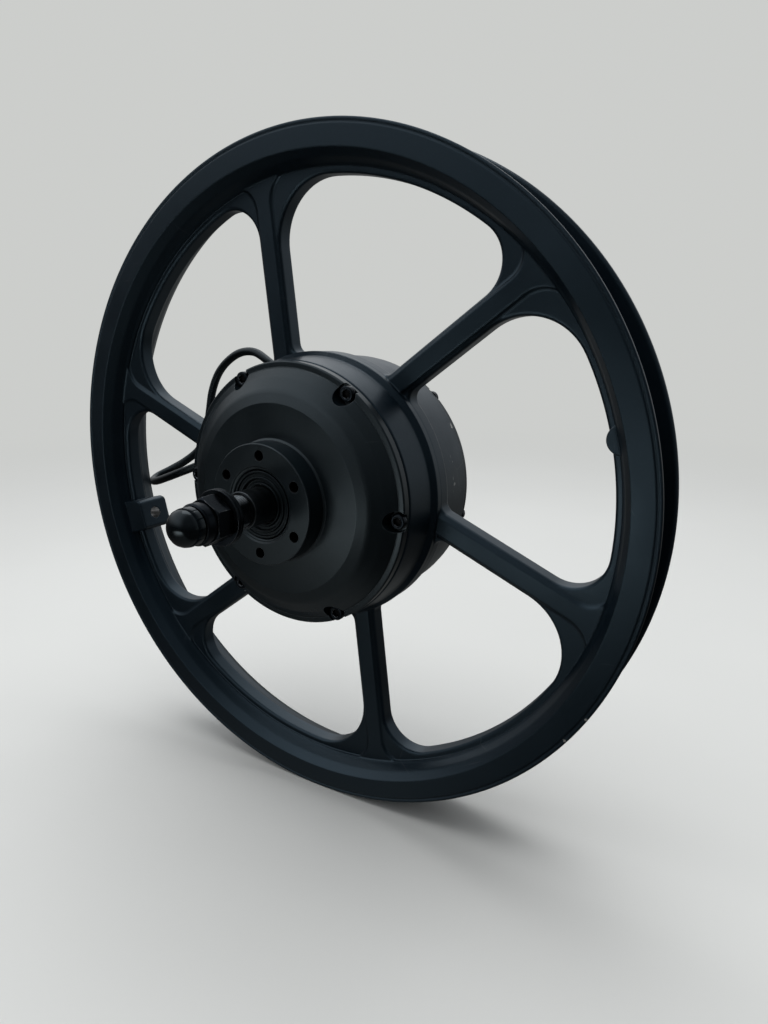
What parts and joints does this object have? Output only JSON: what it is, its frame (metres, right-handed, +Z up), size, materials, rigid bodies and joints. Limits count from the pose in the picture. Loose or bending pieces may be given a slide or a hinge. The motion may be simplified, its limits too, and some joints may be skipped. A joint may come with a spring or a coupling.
{
  "type": "hub motor wheel",
  "caption": "Cast spoked wheel with a geared hub motor in its drum, a brake-disc flange, a flatted axle with nuts and a motor cable.",
  "frame": {"origin": "the wheel's centre: on the axle's axis, in the middle plane of the rim", "axes": "+Y along the axle from the brake-disc side to the cable side, +Z up, +X to the right seen from the brake-disc side"},
  "size_m": [0.3381, 0.203, 0.322],
  "materials": {
    "satin_black_paint": "satin black paint over cast aluminium",
    "cover_black_paint": "satin black paint over cast aluminium",
    "blackened_steel": "blackened",
    "bright_steel": "zinc plated",
    "bearing_steel": "ground",
    "black_rubber": "matt",
    "black_moulding": "moulded",
    "gear_nylon": "moulded nylon",
    "cast_aluminium": "as cast",
    "copper_winding": "enamelled copper wire",
    "core_steel": "laminated or machined steel",
    "magnet_nickel": "nickel plated",
    "circuit_board": "green solder mask"
  },
  "bodies": {
    "axle_assembly": {"axle": "blackened_steel", "disc_side_sleeve": "blackened_steel", "disc_side_inner_washer": "blackened_steel", "disc_side_outer_washer": "blackened_steel", "disc_side_axle_nut": "blackened_steel", "disc_side_end_cap": "black_moulding", "cable_side_inner_washer": "blackened_steel", "cable_side_outer_washer": "blackened_steel", "cable_side_axle_nut": "blackened_steel", "cable_side_end_cap": "black_moulding", "cable_strain_relief": "black_rubber", "motor_cable": "black_rubber", "cable_plug": "black_moulding", "stator_hub": "cast_aluminium", "stator_core": "core_steel", "stator_windings": "copper_winding", "hall_sensor_board": "circuit_board", "clutch_inner_race": "bearing_steel", "clutch_rollers": "bearing_steel", "clutch_circlip": "blackened_steel", "planet_carrier": "cast_aluminium", "planet_pin_1": "bearing_steel", "planet_pin_2": "bearing_steel", "planet_pin_3": "bearing_steel", "disc_side_bearing_inner": "bearing_steel", "cable_side_bearing_inner": "bearing_steel", "rotor_bearing_inner": "bearing_steel"},
    "wheel": {"wheel_casting": "satin_black_paint", "disc_side_cover": "cover_black_paint", "cable_side_cover": "cover_black_paint", "ring_gear": "core_steel", "disc_side_bearing_outer": "bearing_steel", "cable_side_bearing_outer": "bearing_steel", "disc_side_oil_seal": "black_rubber", "cable_side_oil_seal": "black_rubber", "disc_cover_screw_1": "blackened_steel", "disc_cover_screw_2": "blackened_steel", "disc_cover_screw_3": "blackened_steel", "disc_cover_screw_4": "blackened_steel", "disc_cover_screw_5": "blackened_steel", "disc_cover_screw_6": "blackened_steel", "cable_cover_screw_1": "blackened_steel", "cable_cover_screw_2": "blackened_steel", "cable_cover_screw_3": "blackened_steel", "cable_cover_screw_4": "blackened_steel", "cable_cover_screw_5": "blackened_steel", "cable_cover_screw_6": "blackened_steel"},
    "rotor": {"rotor_bell": "core_steel", "magnet_ring": "magnet_nickel", "sun_gear": "bright_steel", "rotor_bearing_outer": "bearing_steel"},
    "planet_1": {"planet_gear_1": "gear_nylon"},
    "planet_2": {"planet_gear_2": "gear_nylon"},
    "planet_3": {"planet_gear_3": "gear_nylon"},
    "disc_side_balls": {"disc_side_bearing_balls": "bearing_steel"},
    "cable_side_balls": {"cable_side_bearing_balls": "bearing_steel"},
    "rotor_balls": {"rotor_bearing_balls": "bearing_steel"}
  },
  "joints": [
    {"name": "wheel_spin", "type": "hinge", "parent": "axle_assembly", "child": "wheel", "pos_m": [0, 0, 0], "axis": [0, 1, 0], "continuous": true},
    {"name": "rotor_spin", "type": "hinge", "parent": "axle_assembly", "child": "rotor", "pos_m": [0, 0, 0], "axis": [0, 1, 0], "continuous": true},
    {"name": "planet_1_spin", "type": "hinge", "parent": "axle_assembly", "child": "planet_1", "pos_m": [0, -0.018, 0.027], "axis": [0, 1, 0], "continuous": true},
    {"name": "planet_2_spin", "type": "hinge", "parent": "axle_assembly", "child": "planet_2", "pos_m": [-0.02338, -0.018, -0.0135], "axis": [0, 1, 0], "continuous": true},
    {"name": "planet_3_spin", "type": "hinge", "parent": "axle_assembly", "child": "planet_3", "pos_m": [0.02338, -0.018, -0.0135], "axis": [0, 1, 0], "continuous": true},
    {"name": "disc_side_balls_spin", "type": "hinge", "parent": "axle_assembly", "child": "disc_side_balls", "pos_m": [0, -0.043, 0], "axis": [0, 1, 0], "continuous": true},
    {"name": "cable_side_balls_spin", "type": "hinge", "parent": "axle_assembly", "child": "cable_side_balls", "pos_m": [0, 0.0422, 0], "axis": [0, 1, 0], "continuous": true},
    {"name": "rotor_balls_spin", "type": "hinge", "parent": "axle_assembly", "child": "rotor_balls", "pos_m": [0, 0.0002, 0], "axis": [0, 1, 0], "continuous": true}
  ],
  "couplings": [
    {"joint": "rotor_spin", "follows": "wheel_spin", "ratio": -4},
    {"joint": "planet_1_spin", "follows": "wheel_spin", "ratio": 2.6667},
    {"joint": "planet_2_spin", "follows": "wheel_spin", "ratio": 2.6667},
    {"joint": "planet_3_spin", "follows": "wheel_spin", "ratio": 2.6667},
    {"joint": "disc_side_balls_spin", "follows": "wheel_spin", "ratio": 0.5723},
    {"joint": "cable_side_balls_spin", "follows": "wheel_spin", "ratio": 0.5624},
    {"joint": "rotor_balls_spin", "follows": "wheel_spin", "ratio": -2.2894}
  ]
}
